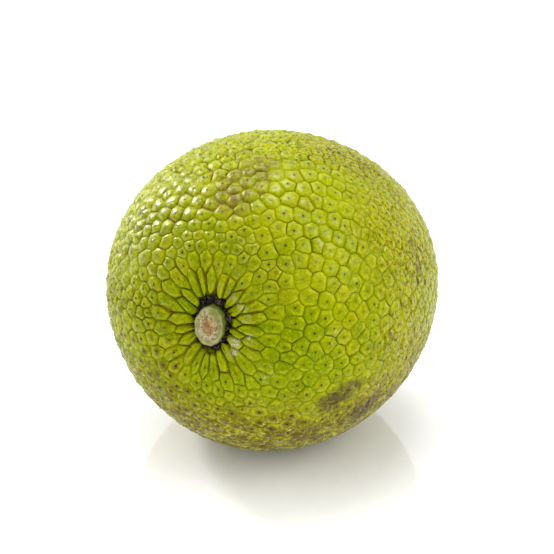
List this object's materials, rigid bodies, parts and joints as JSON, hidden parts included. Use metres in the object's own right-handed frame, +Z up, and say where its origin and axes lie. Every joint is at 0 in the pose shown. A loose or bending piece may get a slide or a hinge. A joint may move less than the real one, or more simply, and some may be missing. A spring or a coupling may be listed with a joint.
{
  "type": "breadfruit",
  "caption": "Whole breadfruit lying on its side, a rounded oval with a knobbly green rind and a cut stalk stub standing in a shallow pocket at one end.",
  "frame": {"origin": "middle of the foot of the bounding box, on the surface that the fruit rests on", "axes": "+Z up; +Y towards the blossom end and the longest extent; the stalk points along -Y and 14 degrees upwards"},
  "size_m": [0.1532, 0.1672, 0.1476],
  "materials": {
    "rind": "waxy, rounded polygonal cells with dark seams and a dark point on each",
    "dry_fibre": "matt, crumbly dark brown",
    "cut_stem": "matt cut face, tan in the middle and pale green at the edge",
    "dried_latex": "chalky off-white drops and crust"
  },
  "bodies": {
    "root": {"fruit_body": "rind", "stem_collar": "dry_fibre", "stem": "cut_stem"}
  },
  "joints": []
}
